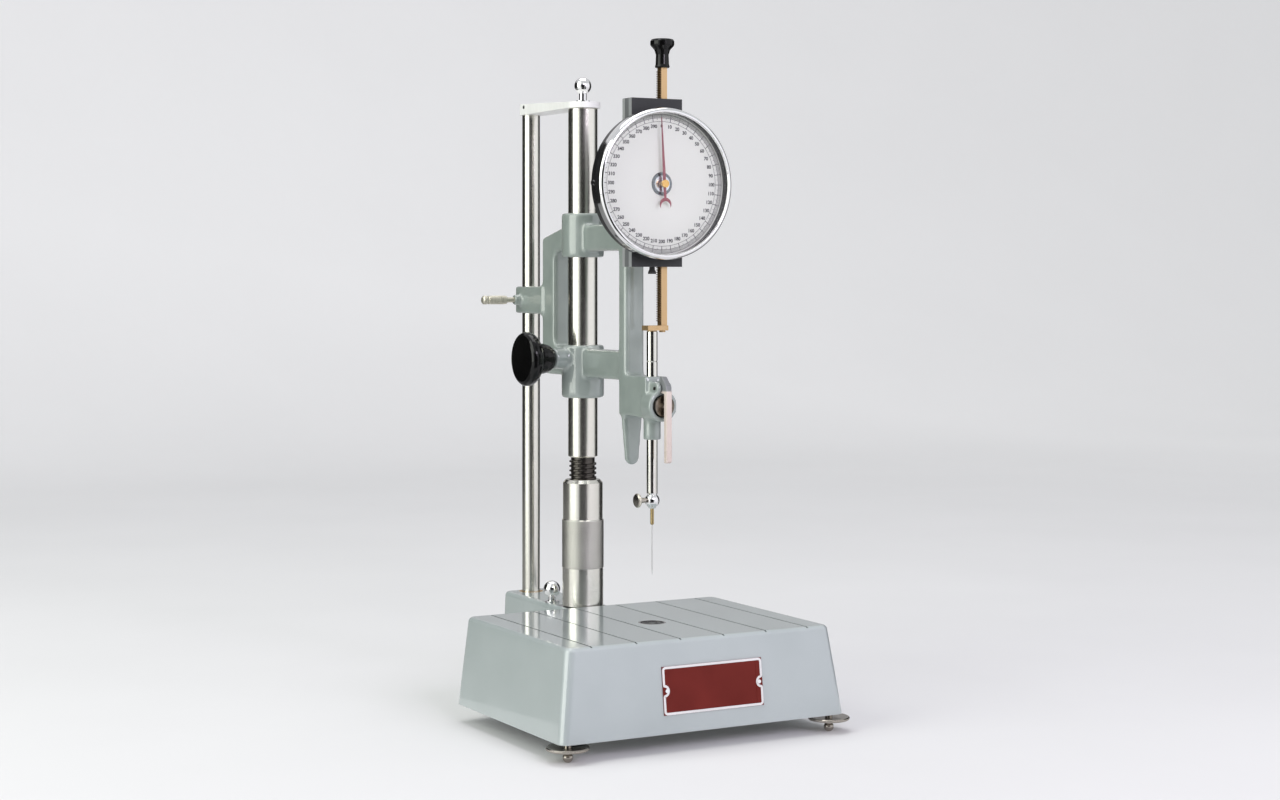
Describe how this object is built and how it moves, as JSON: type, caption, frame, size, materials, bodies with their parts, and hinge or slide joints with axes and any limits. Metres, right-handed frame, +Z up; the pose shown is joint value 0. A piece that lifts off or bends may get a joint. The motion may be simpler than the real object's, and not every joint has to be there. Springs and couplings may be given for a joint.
{
  "type": "bench penetrometer",
  "caption": "Bench penetrometer: grooved base on levelling feet, screw-lifted column with sliding head, round dial, rack, plunger and a needle that a thumb lever lets drop.",
  "frame": {"origin": "on the floor under the middle of the whole outline, in the machine's middle plane", "axes": "+Z up, -Y to the front where the dial and name plate face, +X to the user's right"},
  "size_m": [0.2876, 0.3576, 0.5965],
  "materials": {
    "enamel": "glossy enamel over a cast surface",
    "plate": "satin",
    "bright_steel": "polished nickel plate",
    "dark_steel": "oiled",
    "chrome_trim": "bright plate",
    "bridge_metal": "satin",
    "brass": "satin",
    "black_knob": "polished",
    "housing_grey": "satin",
    "black_paint": "satin",
    "dial_white": "matt",
    "pointer_red": "satin",
    "clear": "polished",
    "rubber_black": "matt",
    "lever_metal": "satin"
  },
  "bodies": {
    "base": {"base_casting": "enamel", "name_plate": "plate", "plate_pins": "chrome_trim", "level_cup": "brass", "level_glass": "clear", "column_spigot": "dark_steel", "rod_bush": "brass", "arm_ball_screw": "chrome_trim"},
    "foot_1": {"level_foot_1": "chrome_trim"},
    "foot_2": {"level_foot_2": "chrome_trim"},
    "foot_3": {"level_foot_3": "chrome_trim"},
    "screw_1": {"level_screw_1": "chrome_trim"},
    "screw_2": {"level_screw_2": "chrome_trim"},
    "screw_3": {"level_screw_3": "chrome_trim"},
    "sleeve": {"adjusting_sleeve": "bright_steel"},
    "lift": {"lift_screw": "dark_steel", "column": "bright_steel", "guide_rod": "bright_steel", "bridge": "bridge_metal", "column_ball_screw": "chrome_trim", "rod_clamp_screw": "dark_steel"},
    "head": {"head_casting": "enamel", "housing_back": "housing_grey", "housing_rails": "housing_grey", "housing_front": "black_paint", "housing_screws": "dark_steel", "flange_screws": "dark_steel", "rack_stop": "rubber_black", "dial_case": "black_paint", "dial_face": "dial_white", "dial_gasket": "rubber_black", "dial_glass": "clear", "dial_bezel": "chrome_trim", "bezel_screw": "chrome_trim", "arbor_bush": "housing_grey", "lever_pin": "dark_steel", "clutch_spring": "dark_steel"},
    "clamp_slide": {"clamp_pad": "brass"},
    "clamp": {"clamp_knob": "black_knob", "clamp_stud": "chrome_trim"},
    "guide_clamp": {"guide_thumbscrew": "chrome_trim"},
    "indicator": {"pinion_arbor": "brass", "pointer": "pointer_red", "pointer_hub": "brass"},
    "rack_rod": {"rack": "brass", "rack_knob": "black_knob", "rack_foot": "brass", "foot_screw": "brass"},
    "needle_rod": {"plunger": "bright_steel", "needle_chuck": "bright_steel", "needle_ferrule": "brass", "needle": "bright_steel"},
    "chuck_clamp": {"chuck_screw": "brass"},
    "release": {"release_lever": "lever_metal"},
    "clutch": {"clutch_yoke": "housing_grey"}
  },
  "joints": [
    {"name": "foot_1_height", "type": "slide", "parent": "base", "child": "foot_1", "axis": [0, 0, 1], "range_m": [-0.00762, 0.00254]},
    {"name": "foot_1_turn", "type": "hinge", "parent": "foot_1", "child": "screw_1", "pos_m": [-0.126, -0.161, 0.011], "axis": [0, 0, 1], "range_deg": [-2161, 721]},
    {"name": "foot_2_height", "type": "slide", "parent": "base", "child": "foot_2", "axis": [0, 0, 1], "range_m": [-0.00762, 0.00254]},
    {"name": "foot_2_turn", "type": "hinge", "parent": "foot_2", "child": "screw_2", "pos_m": [0.126, -0.161, 0.011], "axis": [0, 0, 1], "range_deg": [-2161, 721]},
    {"name": "foot_3_height", "type": "slide", "parent": "base", "child": "foot_3", "axis": [0, 0, 1], "range_m": [-0.00762, 0.00254]},
    {"name": "foot_3_turn", "type": "hinge", "parent": "foot_3", "child": "screw_3", "pos_m": [0, 0.161, 0.011], "axis": [0, 0, 1], "range_deg": [-2161, 721]},
    {"name": "sleeve_turn", "type": "hinge", "parent": "base", "child": "sleeve", "pos_m": [0, 0.054, 0.146], "axis": [0, 0, 1], "range_deg": [-1441, 721]},
    {"name": "column_lift", "type": "slide", "parent": "base", "child": "lift", "axis": [0, 0, 1], "range_m": [-0.00847, 0.01693]},
    {"name": "head_height", "type": "slide", "parent": "lift", "child": "head", "axis": [0, 0, 1], "range_m": [-0.005, 0.09]},
    {"name": "clamp_travel", "type": "slide", "parent": "head", "child": "clamp_slide", "axis": [-1, 0, 0], "range_m": [0, 0.00191]},
    {"name": "clamp_turn", "type": "hinge", "parent": "clamp_slide", "child": "clamp", "pos_m": [-0.045, 0.054, 0.3155], "axis": [-1, 0, 0], "range_deg": [0, 541]},
    {"name": "guide_clamp_turn", "type": "hinge", "parent": "head", "child": "guide_clamp", "pos_m": [-0.03, 0.161, 0.3675], "axis": [-1, 0, 0], "range_deg": [0, 360]},
    {"name": "rack_travel", "type": "slide", "parent": "head", "child": "rack_rod", "axis": [0, 0, 1], "range_m": [-0.026, 0.044]},
    {"name": "needle_travel", "type": "slide", "parent": "head", "child": "needle_rod", "axis": [0, 0, 1], "range_m": [-0.026, 0.044]},
    {"name": "pointer_turn", "type": "hinge", "parent": "head", "child": "indicator", "pos_m": [0, -0.084, 0.47], "axis": [0, 1, 0], "range_deg": [-400, 240]},
    {"name": "chuck_clamp_turn", "type": "hinge", "parent": "needle_rod", "child": "chuck_clamp", "pos_m": [-0.014, -0.0753, 0.1971], "axis": [-1, 0, 0], "range_deg": [0, 360]},
    {"name": "release_press", "type": "hinge", "parent": "head", "child": "release", "pos_m": [0, -0.0927, 0.2944], "axis": [1, 0, 0], "range_deg": [0, 8.1]},
    {"name": "clutch_travel", "type": "slide", "parent": "head", "child": "clutch", "axis": [0, 1, 0], "range_m": [0, 0.00212], "stiffness_N_per_m": 1500, "springref_m": -0.004, "deforming": ["clutch_spring"]}
  ],
  "couplings": [
    {"joint": "foot_1_turn", "follows": "foot_1_height", "rad_per_m": 4947.4},
    {"joint": "foot_2_turn", "follows": "foot_2_height", "rad_per_m": 4947.4},
    {"joint": "foot_3_turn", "follows": "foot_3_height", "rad_per_m": 4947.4},
    {"joint": "sleeve_turn", "follows": "column_lift", "rad_per_m": -1484.3},
    {"joint": "clamp_turn", "follows": "clamp_travel", "rad_per_m": 4947.4},
    {"joint": "needle_travel", "follows": "rack_travel", "ratio": 1},
    {"joint": "pointer_turn", "follows": "rack_travel", "rad_per_m": -157.08},
    {"joint": "release_press", "follows": "clutch_travel", "rad_per_m": 65.789}
  ]
}
